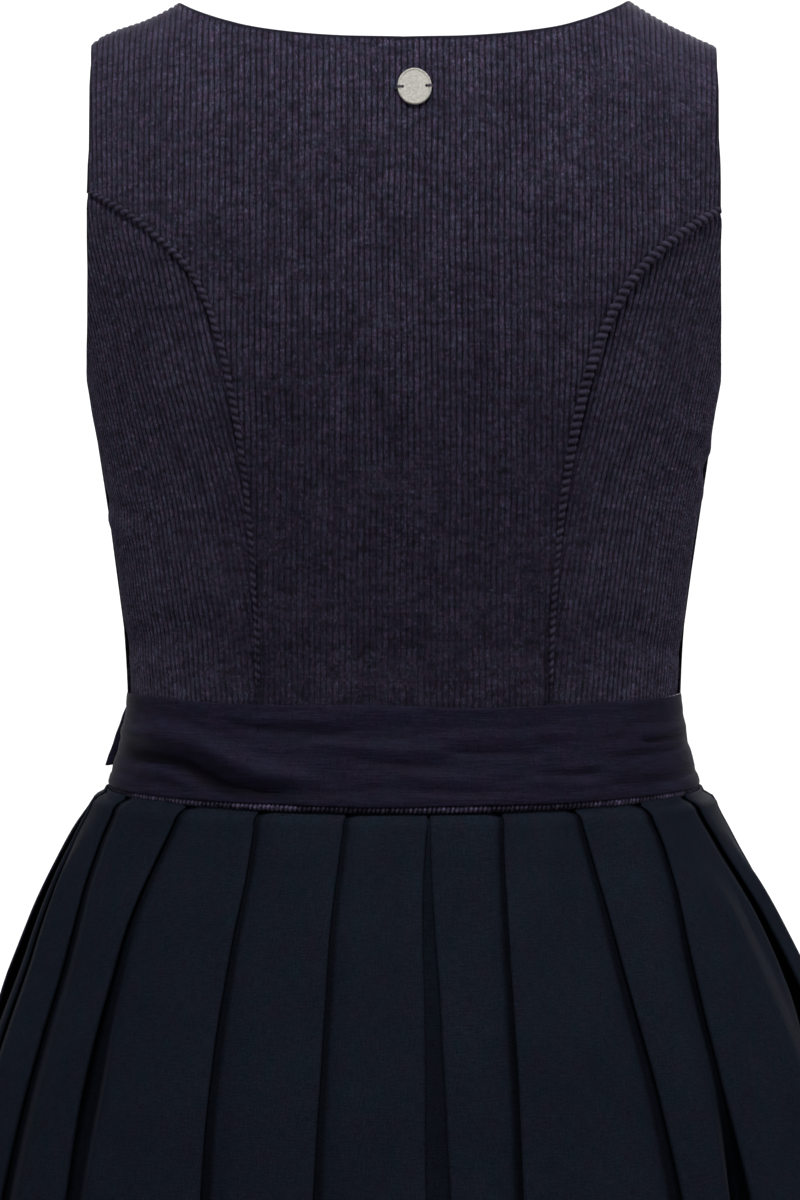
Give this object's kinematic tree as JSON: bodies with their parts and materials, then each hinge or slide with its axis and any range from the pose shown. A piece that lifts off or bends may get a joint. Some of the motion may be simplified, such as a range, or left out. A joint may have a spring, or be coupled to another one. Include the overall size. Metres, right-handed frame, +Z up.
{
  "type": "dirndl dress",
  "caption": "Sleeveless dirndl in a worn, hollow form: wide-wale corduroy bodice with piped back seams, knife-pleated skirt, and an apron whose tie goes round the back to a bow.",
  "frame": {"origin": "middle of the line between the two shoulder straps at their mean height, where the wearer's shoulders carry the dress", "axes": "+Z up, +Y the way the wearer faces, so the back that is seen in the picture faces -Y; -X is the wearer's left"},
  "size_m": [0.629, 0.5191, 1.0173],
  "materials": {
    "corduroy": "matte pile in ribs",
    "skirt_cloth": "matte plain weave",
    "apron_cloth": "soft sheen",
    "tie_cloth": "soft sheen",
    "plate": "satin silver"
  },
  "bodies": {
    "root": {"back_centre_panel": "corduroy", "back_side_panel_r": "corduroy", "back_side_panel_l": "corduroy", "front_side_panel_r": "corduroy", "front_side_panel_l": "corduroy", "front_centre_panel_r": "corduroy", "front_centre_panel_l": "corduroy", "back_piping_r": "corduroy", "back_piping_l": "corduroy", "waist_piping": "corduroy", "skirt_back": "skirt_cloth", "skirt_front": "skirt_cloth", "apron_panel": "apron_cloth", "apron_waistband": "tie_cloth", "tie_back": "tie_cloth", "bow_knot": "tie_cloth", "bow_loop_side": "tie_cloth", "bow_loop_front": "tie_cloth", "tie_tail_side": "tie_cloth", "tie_tail_front": "tie_cloth", "badge": "plate"}
  },
  "joints": []
}
